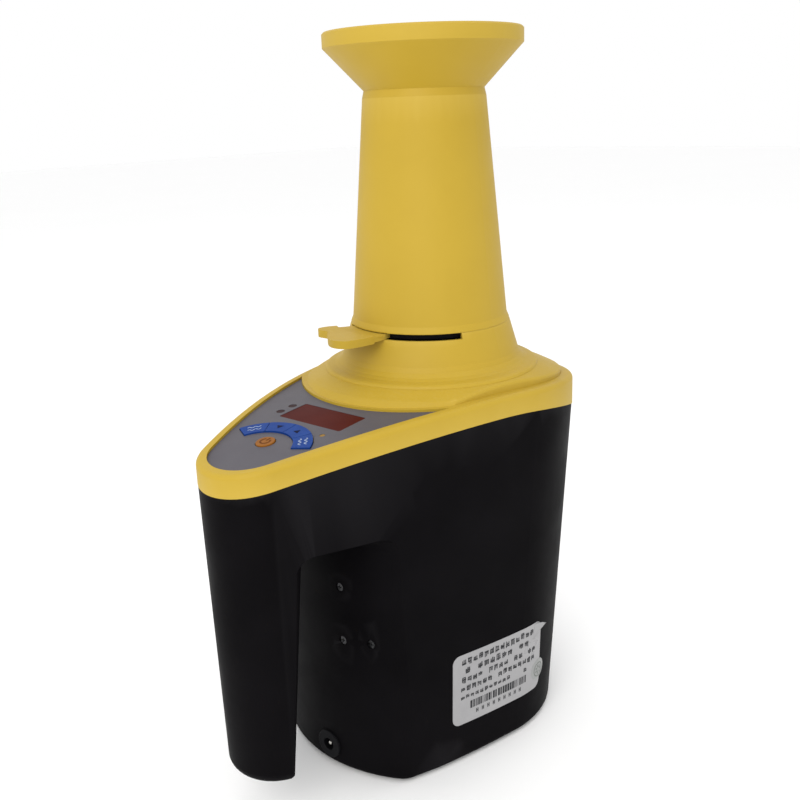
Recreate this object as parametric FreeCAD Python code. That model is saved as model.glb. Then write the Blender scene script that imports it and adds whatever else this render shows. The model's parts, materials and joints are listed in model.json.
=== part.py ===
"""Desk-top grain moisture meter: a lift-off filling tube with a rotary shutter stands in the
collar of a yellow top cover; the black base below holds the weighed measuring cell and ends in
a handle leg with a hand gap behind it.

Frame: millimetres, +Z up, origin on the surface it stands on, under the middle of the case.
The control panel's nose points along -Y."""
import FreeCAD, Part
import math
import os

V = FreeCAD.Vector
X_AXIS = V(1, 0, 0)
Y_AXIS = V(0, 1, 0)
Z_AXIS = V(0, 0, 1)

# ---- case outline in plan: nose arc, rear arc and two long side arcs, all tangent
NOSE_Y = -82.6
NOSE_R = 24.6
NOSE_R_FLOOR = 22.0
REAR_Y = 44.9
REAR_R = 62.3
REAR_Y_FLOOR = 34.2
REAR_R_FLOOR = 57.3
SIDE_R = 500.0
OUTLINE_TOP = 165.0            # height at which the outline has its full size
WALL = 2.5
FOOT_HEIGHT = 1.2
FAR = 120.0                    # reaches past the case in every direction

# ---- arched seam and rim, seen from the side: two arcs tangent at their highest point
ARCH_Y = 12.0
SEAM_TOP = 169.4
SEAM_FRONT_R = 585.0
SEAM_REAR_R = 240.0
RIM_TOP = 179.2
RIM_FRONT_R = 585.0
RIM_REAR_R = 600.0

# ---- handle leg and hand gap
LEG_BOTTOM = 22.0
LEG_EDGE_R = 6.6               # rounding of the leg's lower end
LEG_BACK_Y = -88.4             # back of the leg just above that rounding
LEG_CORNER = dict(turn=47.0, reach=-47.0)   # its two rear corners, cut square to this direction
LEG_SPLIT_Y = -66.0            # between the leg and the body, inside the hand gap
GAP_TOP = 128.0
GAP_CORNER_R = 7.0
GAP_TAPER = 70.0               # corner arcs of the gap turn this many degrees
LEG_BACK_LOW = dict(y=-91.6, x=14.1, r=6.4)
LEG_BACK_HIGH = dict(y=-79.3, x=18.2, r=6.4)
BODY_FRONT_LOW = dict(y=-50.8, x=31.5, cy=-33.4, r=9.0)
BODY_FRONT_HIGH = dict(y=-51.8, x=35.5, cy=-34.4, r=10.0)
GAP_LOW_Z = -6.0

# ---- filling tube, measured about its own upright axis at (0, TUBE_Y)
TUBE_Y = 32.2
TUBE_WALL = 2.0
TUBE_FOOT_R = 37.5
TUBE_FOOT_Z = 205.6
TUBE_NECK_R = 28.5
TUBE_NECK_Z = 308.9
SLEEVE_TOP_Z = 312.2
RIM_R = 45.6
RIM_LOW_Z = 330.9
FUNNEL_TOP_Z = 337.6
SKIRT_BOTTOM = 197.6
LEDGE_Z = 195.2
FOOT_RING_TOP = 202.5
FLANGE_R = 38.3                # beveled flange that rests on the collar
FLANGE_Z = 205.7
FLANGE_TOP_Z = 208.8

# ---- rotary shutter
BLADES = 3
BLADE_ANGLE = 57.0
WINDOW_ANGLE = 51.0
SHUTTER_R = 34.9
SHUTTER_Z = 203.0
SHUTTER_T = 2.2
SEAT_Z = 205.5
SEAT_T = 2.4
HUB_R = 7.5
WINDOW_R = 32.0
PIVOT_R = 2.0
PIVOT_PLAY = 0.06
SEAT_R = 35.15
WINDOW_BEARING = 30.0
LEVER_PAD = 0.8
LEVER_DROP = 0.6
LAP_R = 41.0                   # half-lap joint between the disc's tongue and the lever
LAP_T = 1.0
FOOT_SCREWS = [120.0, 180.0, 240.0]
FOOT_SCREW_R = 1.5
LEVER_LEFT = -33.0             # bearings are degrees from -Y towards +X about the tube axis
LEVER_RIGHT = 8.0
NOTCH_LEFT = -37.0
NOTCH_RIGHT = 62.0
NOTCH_FLOOR = 202.8

# ---- collar and dome of the top cover
COLLAR_TOP = 205.6
BORE_R = 37.8
THROAT_R = 34.5
THROAT_BOTTOM = 181.0
DOME_R = 140.0
DOME_CENTRE_Z = 193.7 - DOME_R
PLATE_FOOT_INSET = 4.0         # at the prism's foot, 5 at the ledge where the wall shows
PLATE_HEAD_INSET = 8.5
PLATE_EDGE_R = 2.0
PLATE_EDGE_Z = 180.6
PANEL_ARC_Z = 176.0
HOLLOW_CORE_R = 40.4
RIM_EDGE_R = 2.5
PLATE_R = 59.4
PANEL_ARC_R = 64.0
COVER_SKIN = 2.4

# ---- control panel, depths measured down from the rim's arched surface
PANEL_INSET = 4.6
RECESS_DEPTH = 1.55
FILM_TOP = 1.1
DECK_DEPTH = 4.25
KEY_RING = dict(y=-83.2, inner=16.4, outer=24.8, start=26.0, stop=154.0)
POWER_KEY = dict(x=-0.7, y=-76.2, r=4.3)
DISPLAY = dict(x=2.1, y=-45.6, w=37.6, h=16.6)
INDICATOR_R = 1.9
INDICATORS = [(-20.6, -42.2), (-20.6, -49.6)]
STATUS_LED = (17.2, -60.2)
KEY_GAP = 0.3
KEY_TOP = 0.55
KEY_CAP_T = 1.2
KEY_PLAY = 0.25
KEY_POCKET_DEPTH = 2.35
STEM_R = 2.0
STEM_LENGTH = 6.6
SWITCH_GAP = 0.45
SWITCH_LIFT = 0.6              # the keys' plane and the board's plane differ by this under the keys
BOARD_DEPTH = 13.25
BOARD_T = 1.6

# ---- measuring cell and weighing beam, on the tube axis
CELL_TOP = 178.6
CELL_FLOOR = 70.7
CELL_R = 37.0
CELL_WALL = 1.6
CELL_BASE_T = 8.0
CORE_R = 11.0
CORE_TOP = 128.0
TRAY_Z = 45.7
TRAY_T = 3.0
TRAY_R = 38.6
BEAM_Z = 30.0
BEAM = 12.7
BEAM_LENGTH = 80.0
BEAM_FRONT = -24.0

# ---- small parts low in the case
FLOOR_EDGE_R = 2.5
SOCKET_Z = 11.2
SOCKET_R = 7.0
SOCKET_BARREL_R = 4.9
SOCKET_SEAT_Y = -50.5
CELL_AA_R = 7.1
CELL_AA_L = 50.0
CELL_AA_PITCH = 15.2
DOOR = dict(w=66.0, l=62.0, t=2.2, y=31.5, corner=4.0, play=0.3)
BOSSES = [(-47.0, 48.0), (47.0, 48.0), (-30.0, -23.0), (30.0, -23.0)]
BOSS_R = 4.6
BOSS_BORE_R = 3.3
BOSS_SHELF_Z = 136.0
BOSS_MEET_Z = 142.0
SCREW_R = 1.5
FEET = [(-38.0, 62.0), (38.0, 62.0), (-31.0, -34.0), (31.0, -34.0)]
FOOT_R = 4.5
BRACKET_SCREWS = [(12.5, 98.0), (12.5, 71.0), (27.0, 72.5)]
BRACKET_HEAD_R = 1.9
BRACKET_SHANK_R = 1.0
MAIN_BOARD = dict(x=28.0, y=-40.0, t=1.6, z0=42.0, z1=118.0)
MAIN_POSTS = [(-22.0, 48.0), (22.0, 48.0), (-22.0, 112.0), (22.0, 112.0)]
LABEL = dict(y=13.0, z=39.3, w=57.0, h=37.4, corner=4.0, tilt=-0.5, t=0.2)


# ------------------------------------------------------------------ helpers
def export(name, *solids):
    """Write one named sub-part, a single solid or a group of separate ones."""
    shape = solids[0] if len(solids) == 1 else Part.makeCompound(list(solids))
    shape.exportStep("parts/%s.step" % name)


def cylinder(r, z0, z1, x=0.0, y=TUBE_Y):
    return Part.makeCylinder(r, z1 - z0, V(x, y, z0))


def ring(r_out, r_in, z0, z1, x=0.0, y=TUBE_Y):
    return cylinder(r_out, z0, z1, x, y).cut(cylinder(r_in, z0 - 1, z1 + 1, x, y))


def box(x0, x1, y0, y1, z0, z1):
    return Part.makeBox(x1 - x0, y1 - y0, z1 - z0, V(x0, y0, z0))


def turned(profile):
    """Solid of revolution about the tube axis from a closed list of (radius, height)."""
    points = [V(r, TUBE_Y, z) for r, z in profile]
    face = Part.Face(Part.makePolygon(points + points[:1]))
    return face.revolve(V(0, TUBE_Y, 0), Z_AXIS, 360)


def bearing(radius, degrees, z=0.0):
    """Point at a radius and bearing about the tube axis."""
    a = math.radians(degrees)
    return V(radius * math.sin(a), TUBE_Y - radius * math.cos(a), z)


def sector(r, start, stop, z0, z1):
    """Upright pie slice about the tube axis between two bearings."""
    middle = (start + stop) / 2
    wire = Part.Wire([
        Part.LineSegment(V(0, TUBE_Y, z0), bearing(r, start, z0)).toShape(),
        Part.Arc(bearing(r, start, z0), bearing(r, middle, z0), bearing(r, stop, z0)).toShape(),
        Part.LineSegment(bearing(r, stop, z0), V(0, TUBE_Y, z0)).toShape()])
    return Part.Face(wire).extrude(V(0, 0, z1 - z0))


def slab(wire, height):
    return Part.Face(wire).extrude(V(0, 0, height))


def rounded_plate(width, length, thickness, corner):
    """Flat plate with rounded corners, centred on the origin, its underside at z = 0."""
    plate = Part.makeBox(width, length, thickness, V(-width / 2, -length / 2, 0))
    upright = [e for e in plate.Edges if abs(e.tangentAt(e.FirstParameter).z) > 0.99]
    return plate.makeFillet(corner, upright)


def fillet_where(shape, radius, test):
    """Round every edge whose middle point passes the test, or leave the shape as it is."""
    picked = []
    for edge in shape.Edges:
        middle = edge.valueAt((edge.FirstParameter + edge.LastParameter) / 2)
        if test(middle):
            picked.append(edge)
    rounded = shape.makeFillet(radius, picked)
    if not rounded.isValid():
        raise ValueError("fillet of %.1f mm failed" % radius)
    return rounded


# ------------------------------------------------------------------ case outline
class Outline:
    """Plan outline at a height: four tangent arcs, smaller towards the floor."""

    def __init__(self, level):
        t = level / OUTLINE_TOP
        self.level = level
        self.nose_r = NOSE_R_FLOOR + (NOSE_R - NOSE_R_FLOOR) * t
        self.rear_r = REAR_R_FLOOR + (REAR_R - REAR_R_FLOOR) * t
        self.rear_y = REAR_Y_FLOOR + (REAR_Y - REAR_Y_FLOOR) * t
        span = self.rear_y - NOSE_Y
        bulge = 2 * SIDE_R - self.rear_r - self.nose_r
        rise = ((self.rear_r - self.nose_r) * bulge - span ** 2) / (2 * span)
        self.side_x = -math.sqrt((SIDE_R - self.rear_r) ** 2 - rise ** 2)
        self.side_y = self.rear_y + rise
        self.at_rear = math.atan2(self.rear_y - self.side_y, -self.side_x)
        self.at_nose = math.atan2(NOSE_Y - self.side_y, -self.side_x)

    def side(self, angle, sign, inset=0.0):
        r = SIDE_R - inset
        x = self.side_x + r * math.cos(angle)
        return V(sign * x, self.side_y + r * math.sin(angle), self.level)

    def side_arc(self, a, b, sign, inset=0.0):
        points = [self.side(t, sign, inset) for t in (a, (a + b) / 2, b)]
        return Part.Arc(*points).toShape()

    def nose_arc(self, inset=0.0):
        tip = V(0, NOSE_Y - self.nose_r + inset, self.level)
        ends = [self.side(self.at_nose, sign, inset) for sign in (-1, 1)]
        return Part.Arc(ends[0], tip, ends[1]).toShape()


def case_outline(level, inset=0.0):
    o = Outline(level)
    back = V(0, o.rear_y + o.rear_r - inset, level)
    ends = [o.side(o.at_rear, sign, inset) for sign in (1, -1)]
    return Part.Wire([
        o.nose_arc(inset), o.side_arc(o.at_nose, o.at_rear, 1, inset),
        Part.Arc(ends[0], back, ends[1]).toShape(), o.side_arc(o.at_rear, o.at_nose, -1, inset)])


def drafted(z0, z1, inset=0.0):
    """Case-shaped solid between two heights, narrowing towards the floor."""
    return Part.makeLoft([case_outline(z0, inset), case_outline(z1, inset)], True, True)


def straight(inset, z0=140.0, z1=240.0):
    """Upright prism of the full-size outline."""
    wire = case_outline(OUTLINE_TOP, inset)
    wire.translate(V(0, 0, z0 - OUTLINE_TOP))
    return slab(wire, z1 - z0)


def under_arch(top, front_r, rear_r, depth=0.0):
    """Everything below an arched surface that is highest at ARCH_Y and runs across the case."""
    def half(radius, y0, y1):
        log = Part.makeCylinder(radius - depth, 2 * FAR, V(-FAR, ARCH_Y, top - radius), X_AXIS)
        return log.common(box(-FAR, FAR, y0, y1, -20, top + 20))
    front = half(front_r, -FAR - 20, ARCH_Y)
    return front.fuse(half(rear_r, ARCH_Y, FAR + 20)).removeSplitter()


def under_seam(depth=0.0):
    return under_arch(SEAM_TOP, SEAM_FRONT_R, SEAM_REAR_R, depth)


def under_rim(depth=0.0):
    return under_arch(RIM_TOP, RIM_FRONT_R, RIM_REAR_R, depth)


def on_panel(x, y, depth):
    """Placement on the panel: local z is the panel's normal, the origin lies depth below the rim."""
    radius = RIM_FRONT_R
    lean = math.asin((y - ARCH_Y) / radius)
    reach = radius - depth
    centre = V(x, ARCH_Y + reach * math.sin(lean), RIM_TOP - radius + reach * math.cos(lean))
    return FreeCAD.Placement(centre, FreeCAD.Rotation(X_AXIS, -math.degrees(lean)))


def placed(shape, placement):
    copy = shape.copy()
    copy.Placement = placement.multiply(copy.Placement)
    return copy


# ------------------------------------------------------------------ hand gap
def gap_wire(z, leg, body, grow):
    """Plan of the hand gap: the leg's rounded back in front, the body's round front behind."""
    turn = math.radians(GAP_TAPER)
    body_r = body["r"] - grow
    apex = body["y"] + grow
    rise = body["cy"] - apex
    front_r = (body["x"] ** 2 + rise ** 2 - body_r ** 2) / (2 * (rise - body_r))
    start = math.asin(body["x"] / (front_r - body_r))
    leg_r = leg["r"] - grow
    leg_y = leg["y"] - grow

    def corner(angle, sign):
        return V(sign * (body["x"] + body_r * math.sin(angle)), body["cy"] - body_r * math.cos(angle), z)

    def leg_corner(angle, sign):
        x = leg["x"] + leg_r * math.sin(angle)
        return V(sign * x, leg_y - leg_r + leg_r * math.cos(angle), z)

    def beyond(point, sign, slope):
        run = FAR - abs(point.x)
        return V(sign * FAR, point.y + slope * run * math.tan(turn), z)

    def arc(f, a, b, sign):
        return Part.Arc(f(a, sign), f((a + b) / 2, sign), f(b, sign)).toShape()

    def line(a, b):
        return Part.LineSegment(a, b).toShape()

    body_out = {s: beyond(corner(turn, s), s, 1) for s in (-1, 1)}
    leg_out = {s: beyond(leg_corner(turn, s), s, -1) for s in (-1, 1)}
    return Part.Wire([
        line(body_out[-1], corner(turn, -1)), arc(corner, turn, start, -1),
        Part.Arc(corner(start, -1), V(0, apex, z), corner(start, 1)).toShape(),
        arc(corner, start, turn, 1), line(corner(turn, 1), body_out[1]),
        line(body_out[1], leg_out[1]), line(leg_out[1], leg_corner(turn, 1)),
        arc(leg_corner, turn, 0, 1), line(leg_corner(0, 1), leg_corner(0, -1)),
        arc(leg_corner, 0, turn, -1), line(leg_corner(turn, -1), leg_out[-1]),
        line(leg_out[-1], body_out[-1])])


def hand_gap(grow=0.0):
    """Space behind the handle leg, open at both sides and below; grow makes room for a wall."""
    top = GAP_TOP + grow
    low = gap_wire(GAP_LOW_Z, LEG_BACK_LOW, BODY_FRONT_LOW, grow)
    high = gap_wire(top, LEG_BACK_HIGH, BODY_FRONT_HIGH, grow)
    gap = Part.makeLoft([low, high], True, True)
    return fillet_where(gap, GAP_CORNER_R + grow, lambda p: abs(p.z - top) < 0.01 and abs(p.x) < FAR - 1)


def front_wall_y(x, z):
    """Outer face of the body's front wall behind the hand gap."""
    t = (z - GAP_LOW_Z) / (GAP_TOP - GAP_LOW_Z)
    body = {k: BODY_FRONT_LOW[k] + (BODY_FRONT_HIGH[k] - BODY_FRONT_LOW[k]) * t for k in BODY_FRONT_LOW}
    rise = body["cy"] - body["y"]
    radius = (body["x"] ** 2 + rise ** 2 - body["r"] ** 2) / (2 * (rise - body["r"]))
    return body["y"] + radius - math.sqrt(radius ** 2 - x ** 2)


# ------------------------------------------------------------------ base
def lengthways(r, y0, y1, x, z):
    """Cylinder along Y."""
    return Part.makeCylinder(r, y1 - y0, V(x, y0, z), Y_AXIS)


def rounded_side(turn, reach):
    """Block that ends in a side facing `turn` degrees from +Y, its lower edge rounded."""
    top = LEG_BOTTOM + LEG_EDGE_R
    centre = reach - LEG_EDGE_R
    block = Part.makeCylinder(LEG_EDGE_R, 2 * FAR, V(-FAR, centre, top), X_AXIS)
    block = block.fuse(box(-FAR, FAR, -FAR, centre, LEG_BOTTOM, top))
    block.rotate(V(0, 0, 0), Z_AXIS, -turn)
    return block


def leg_end_cutter():
    """What has to go round the lower end of the handle leg to leave it rounded."""
    top = LEG_BOTTOM + LEG_EDGE_R
    front = cylinder(NOSE_R_FLOOR + 0.5, LEG_BOTTOM, top + 20, 0, NOSE_Y)
    front = fillet_where(front, LEG_EDGE_R, lambda p: abs(p.z - LEG_BOTTOM) < 0.01)
    kept = front.common(rounded_side(0, LEG_BACK_Y))
    for sign in (-1, 1):
        kept = kept.common(rounded_side(sign * LEG_CORNER["turn"], LEG_CORNER["reach"]))
    return box(-FAR, FAR, -FAR, LEG_SPLIT_Y, -10, top).cut(kept)


def base_shell():
    """Black base: drafted shell with a handle leg, closed below, open under the top cover."""
    outer = drafted(FOOT_HEIGHT, 172).common(under_seam()).cut(hand_gap())
    outer = outer.cut(leg_end_cutter())
    outer = fillet_where(outer, FLOOR_EDGE_R, lambda p: abs(p.z - FOOT_HEIGHT) < 0.01)
    inside = drafted(FOOT_HEIGHT + WALL, 173, WALL).cut(hand_gap(WALL))
    inside = inside.cut(box(-FAR, FAR, -FAR, LEG_SPLIT_Y, -10, LEG_BOTTOM + LEG_EDGE_R))
    shell = outer.cut(inside)
    for x, y in BOSSES:
        shell = shell.fuse(cylinder(BOSS_R, FOOT_HEIGHT + 1, BOSS_MEET_Z, x, y))
        shell = shell.cut(cylinder(BOSS_BORE_R, FOOT_HEIGHT - 1, BOSS_SHELF_Z, x, y))
        shell = shell.cut(cylinder(SCREW_R + 0.1, BOSS_SHELF_Z - 1, BOSS_MEET_Z + 1, x, y))
    for x, y in FEET:
        shell = shell.cut(cylinder(FOOT_R, FOOT_HEIGHT - 1, FOOT_HEIGHT + 1, x, y))
    for x, z in MAIN_POSTS:
        wall_y = front_wall_y(x, z)
        shell = shell.fuse(lengthways(3.0, wall_y + 1, MAIN_BOARD["y"], x, z))
        shell = shell.cut(lengthways(1.1, wall_y + WALL, MAIN_BOARD["y"] + 1, x, z))
    for x, z in BRACKET_SCREWS:
        wall_y = front_wall_y(x, z)
        shell = shell.cut(lengthways(BRACKET_HEAD_R + 0.2, wall_y - 3, wall_y + 1.3, x, z))
        shell = shell.cut(lengthways(BRACKET_SHANK_R + 0.1, wall_y, wall_y + 4, x, z))
    shell = shell.cut(lengthways(SOCKET_R + 0.1, -60, SOCKET_SEAT_Y, 0, SOCKET_Z))
    shell = shell.cut(lengthways(SOCKET_BARREL_R + 0.1, -60, -40, 0, SOCKET_Z))
    opening = rounded_plate(DOOR["w"], DOOR["l"], 4, DOOR["corner"])
    opening.translate(V(0, DOOR["y"], FOOT_HEIGHT - 1))
    return shell.cut(opening)


def rubber_feet():
    feet = []
    for x, y in FEET:
        foot = cylinder(FOOT_R - 0.2, 0, FOOT_HEIGHT + 1, x, y)
        feet.append(fillet_where(foot, 0.5, lambda p: p.z < 0.01))
    return feet


def battery_door():
    """Rounded plate in the floor with a finger groove at its rear edge and two inner ribs."""
    play = DOOR["play"]
    door = rounded_plate(DOOR["w"] - 2 * play, DOOR["l"] - 2 * play, DOOR["t"], DOOR["corner"] - play)
    door.translate(V(0, DOOR["y"], FOOT_HEIGHT))
    for k in range(4):
        y = DOOR["y"] + 16 + 3.2 * k
        door = door.cut(box(-9, 9, y, y + 1.4, FOOT_HEIGHT - 1, FOOT_HEIGHT + 0.7))
    return door


def battery_box():
    low = FOOT_HEIGHT + WALL
    y0 = DOOR["y"] - DOOR["l"] / 2
    y1 = DOOR["y"] + DOOR["l"] / 2
    half = DOOR["w"] / 2
    shell = box(-half - 1.5, half + 1.5, y0 - 1.5, y1 + 1.5, low, low + 17.5)
    return shell.cut(box(-half, half, y0, y1, low - 1, low + 16))


def battery_rows():
    return [CELL_AA_PITCH * (k - 1.5) for k in range(4)]


def battery_cells():
    z = FOOT_HEIGHT + WALL + 1 + CELL_AA_R
    y0 = DOOR["y"] - CELL_AA_L / 2
    cells = []
    for k, x in enumerate(battery_rows()):
        cell = fillet_where(lengthways(CELL_AA_R, y0, y0 + CELL_AA_L - 1, x, z), 0.8, lambda p: True)
        nub = lengthways(2.6, y0 + CELL_AA_L - 1.5, y0 + CELL_AA_L, x, z)
        cell = cell.fuse(nub)
        if k % 2:
            cell.rotate(V(x, DOOR["y"], z), Z_AXIS, 180)
        cells.append(cell)
    return cells


def battery_contacts():
    z = FOOT_HEIGHT + WALL + 1 + CELL_AA_R
    plates = []
    for x in battery_rows():
        for side in (-1, 1):
            y = DOOR["y"] + side * (CELL_AA_L / 2 + 0.2)
            plates.append(box(x - 5, x + 5, y - 0.2, y + 0.2, z - 5, z + 5).fuse(
                box(x - 1.5, x + 1.5, min(y, y + side * 5.6), max(y, y + side * 5.6), z - 0.2, z + 0.2)))
    return plates


def dc_socket():
    """Panel socket: flanged barrel with a round opening, its centre pin and the nut behind."""
    back = SOCKET_SEAT_Y + 13
    body = lengthways(SOCKET_R, SOCKET_SEAT_Y - 1.4, SOCKET_SEAT_Y, 0, SOCKET_Z)
    body = fillet_where(body, 0.5, lambda p: p.y < SOCKET_SEAT_Y - 1)
    body = body.fuse(lengthways(SOCKET_BARREL_R, SOCKET_SEAT_Y - 0.5, back, 0, SOCKET_Z))
    body = body.cut(lengthways(3.1, SOCKET_SEAT_Y - 3, back - 3, 0, SOCKET_Z))
    body = body.cut(lengthways(1.0, back - 4, back + 1, 0, SOCKET_Z))
    pin = lengthways(1.0, SOCKET_SEAT_Y - 0.6, back + 3, 0, SOCKET_Z)
    pin = fillet_where(pin, 0.5, lambda p: p.y < SOCKET_SEAT_Y)
    wall_back = front_wall_y(0, SOCKET_Z) + WALL + 0.65
    face = Part.Face(Part.makePolygon([
        V(8 * math.cos(math.radians(60 * k)), wall_back, SOCKET_Z + 8 * math.sin(math.radians(60 * k)))
        for k in range(7)]))
    nut = face.extrude(V(0, 2.6, 0)).cut(lengthways(SOCKET_BARREL_R + 0.02, -60, -30, 0, SOCKET_Z))
    return body, pin, nut


def bracket_screws():
    screws = []
    for x, z in BRACKET_SCREWS:
        y = front_wall_y(x, z)
        head = lengthways(BRACKET_HEAD_R, y + 0.3, y + 1.3, x, z)
        head = head.cut(box(x - 1.2, x + 1.2, y, y + 0.9, z - 0.28, z + 0.28))
        head = head.cut(box(x - 0.28, x + 0.28, y, y + 0.9, z - 1.2, z + 1.2))
        screws.append(head.fuse(lengthways(BRACKET_SHANK_R, y + 1.2, y + 4.6, x, z)))
    return screws


def main_board():
    b = MAIN_BOARD
    board = box(-b["x"], b["x"], b["y"], b["y"] + b["t"], b["z0"], b["z1"])
    for x, z in MAIN_POSTS:
        board = board.cut(lengthways(1.2, b["y"] - 1, b["y"] + 3, x, z))
    board = board.fuse(box(-9, 9, b["y"] + b["t"] - 0.1, b["y"] + b["t"] + 2, 70, 88))
    board = board.fuse(box(12, 22, b["y"] + b["t"] - 0.1, b["y"] + b["t"] + 7, 60, 66))
    return board.fuse(box(-23, -13, b["y"] + b["t"] - 0.1, b["y"] + b["t"] + 9, 92, 102))


def main_board_screws():
    y = MAIN_BOARD["y"] + MAIN_BOARD["t"]
    return [lengthways(2.4, y, y + 1.6, x, z).fuse(lengthways(1.05, y - 7, y + 0.1, x, z))
            for x, z in MAIN_POSTS]


def cover_screws():
    """Four long-boss screws that hold the top cover from below."""
    screws = []
    for x, y in BOSSES:
        head = cylinder(3.0, BOSS_SHELF_Z - 2.4, BOSS_SHELF_Z, x, y)
        head = head.cut(box(x - 2, x + 2, y - 0.4, y + 0.4, BOSS_SHELF_Z - 3, BOSS_SHELF_Z - 1.2))
        head = head.cut(box(x - 0.4, x + 0.4, y - 2, y + 2, BOSS_SHELF_Z - 3, BOSS_SHELF_Z - 1.2))
        screws.append(head.fuse(cylinder(SCREW_R, BOSS_SHELF_Z - 0.1, BOSS_MEET_Z + 12, x, y)))
    return screws


def label_sticker():
    """Rating label on the +X side, following the side wall."""
    skin = drafted(10, 100, -0.05 - LABEL["t"]).cut(drafted(9, 101, -0.05))
    window = rounded_plate(LABEL["w"], LABEL["h"], 40, LABEL["corner"])
    window.rotate(V(0, 0, 0), X_AXIS, 90)
    window.rotate(V(0, 0, 0), Z_AXIS, 90)
    window.rotate(V(0, 0, 0), X_AXIS, LABEL["tilt"])
    window.translate(V(35, LABEL["y"], LABEL["z"]))
    return skin.common(window)


# ------------------------------------------------------------------ measuring cell
def load_cell_post():
    post = box(-10, 10, BEAM_FRONT, BEAM_FRONT + 18, FOOT_HEIGHT + WALL, BEAM_Z)
    for y in (BEAM_FRONT + 5, BEAM_FRONT + 13):
        post = post.cut(cylinder(2.05, BEAM_Z - 12, BEAM_Z + 1, 0, y))
    return post


def load_cell_beam():
    """Single-point beam with the two joined holes that make it bend parallel."""
    back = BEAM_FRONT + BEAM_LENGTH
    beam = box(-BEAM / 2, BEAM / 2, BEAM_FRONT, back, BEAM_Z, BEAM_Z + BEAM)
    middle = (BEAM_FRONT + back) / 2
    level = BEAM_Z + BEAM / 2
    for y in (middle - 9, middle + 9):
        beam = beam.cut(Part.makeCylinder(5.2, BEAM + 2, V(-BEAM / 2 - 1, y, level), X_AXIS))
    beam = beam.cut(box(-BEAM, BEAM, middle - 9, middle + 9, level - 2, level + 2))
    for y in (BEAM_FRONT + 5, BEAM_FRONT + 13, back - 13, back - 5):
        beam = beam.cut(cylinder(2.05, BEAM_Z - 1, BEAM_Z + BEAM + 1, 0, y))
    return beam


def load_cell_screws():
    back = BEAM_FRONT + BEAM_LENGTH
    top = BEAM_Z + BEAM
    screws = []
    for y in (BEAM_FRONT + 5, BEAM_FRONT + 13):
        screws.append(cylinder(3.5, top, top + 2.4, 0, y).fuse(cylinder(2.0, BEAM_Z - 10, top + 0.1, 0, y)))
    for y in (back - 13, back - 5):
        head = cylinder(3.5, BEAM_Z - 3, BEAM_Z, 0, y)
        screws.append(head.fuse(cylinder(2.0, BEAM_Z - 0.1, TRAY_Z - 0.3, 0, y)))
    return screws


def post_spots():
    return [bearing(CELL_R - 9, b) for b in (0, 120, 240)]


def cell_tray():
    back = BEAM_FRONT + BEAM_LENGTH
    tray = cylinder(TRAY_R, TRAY_Z, TRAY_Z + TRAY_T)
    spacer = box(-8, 8, back - 18, back, BEAM_Z + BEAM, TRAY_Z + 0.1)
    for y in (back - 13, back - 5):
        spacer = spacer.cut(cylinder(2.05, BEAM_Z, TRAY_Z, 0, y))
    return tray.fuse(spacer)


def cell_posts():
    base_z = CELL_FLOOR - CELL_BASE_T
    middle = (TRAY_Z + TRAY_T + base_z) / 2
    posts = []
    for p in post_spots():
        posts.append(cylinder(2.6, TRAY_Z + TRAY_T, middle - BOARD_T / 2, p.x, p.y))
        posts.append(cylinder(2.6, middle + BOARD_T / 2, base_z, p.x, p.y))
    return posts


def cell_board():
    middle = (TRAY_Z + TRAY_T + CELL_FLOOR - CELL_BASE_T) / 2
    disc = cylinder(CELL_R - 3, middle - BOARD_T / 2, middle + BOARD_T / 2)
    top = middle + BOARD_T / 2 - 0.1
    disc = disc.fuse(box(-5, 5, TUBE_Y - 5, TUBE_Y + 5, top, top + 1.6))
    return disc.fuse(box(12, 18, TUBE_Y - 8, TUBE_Y + 2, top, top + 3))


def cell_base():
    """Insulating floor of the cell with a groove for the outer electrode."""
    disc = cylinder(TRAY_R, CELL_FLOOR - CELL_BASE_T, CELL_FLOOR)
    groove = ring(CELL_R + 0.05, CELL_R - CELL_WALL - 0.05, CELL_FLOOR - 3, CELL_FLOOR + 1)
    disc = disc.cut(groove)
    disc = disc.cut(cylinder(4.05, CELL_FLOOR - 6, CELL_FLOOR + 1))
    probe = bearing(24, 60)
    return disc.cut(cylinder(1.55, CELL_FLOOR - 4, CELL_FLOOR + 1, probe.x, probe.y))


def cell_outer_electrode():
    return ring(CELL_R, CELL_R - CELL_WALL, CELL_FLOOR - 3, CELL_TOP)


def cell_core_electrode():
    core = fillet_where(cylinder(CORE_R, CELL_FLOOR, CORE_TOP), 4.0, lambda p: p.z > CORE_TOP - 0.1)
    return core.fuse(cylinder(4.0, CELL_FLOOR - 6, CELL_FLOOR + 1))


def temperature_probe():
    p = bearing(24, 60)
    return fillet_where(cylinder(1.5, CELL_FLOOR - 4, CELL_FLOOR + 26, p.x, p.y), 1.2,
                        lambda m: m.z > CELL_FLOOR + 20)


# ------------------------------------------------------------------ top cover
def plate_prism(foot, top, z0=150.0, z1=215.0):
    """Prism of the raised plate's side wall, leaning in from foot to top inset."""
    low = case_outline(OUTLINE_TOP, foot)
    low.translate(V(0, 0, z0 - OUTLINE_TOP))
    high = case_outline(OUTLINE_TOP, top)
    high.translate(V(0, 0, z1 - OUTLINE_TOP))
    return Part.makeLoft([low, high], True, True)


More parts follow.
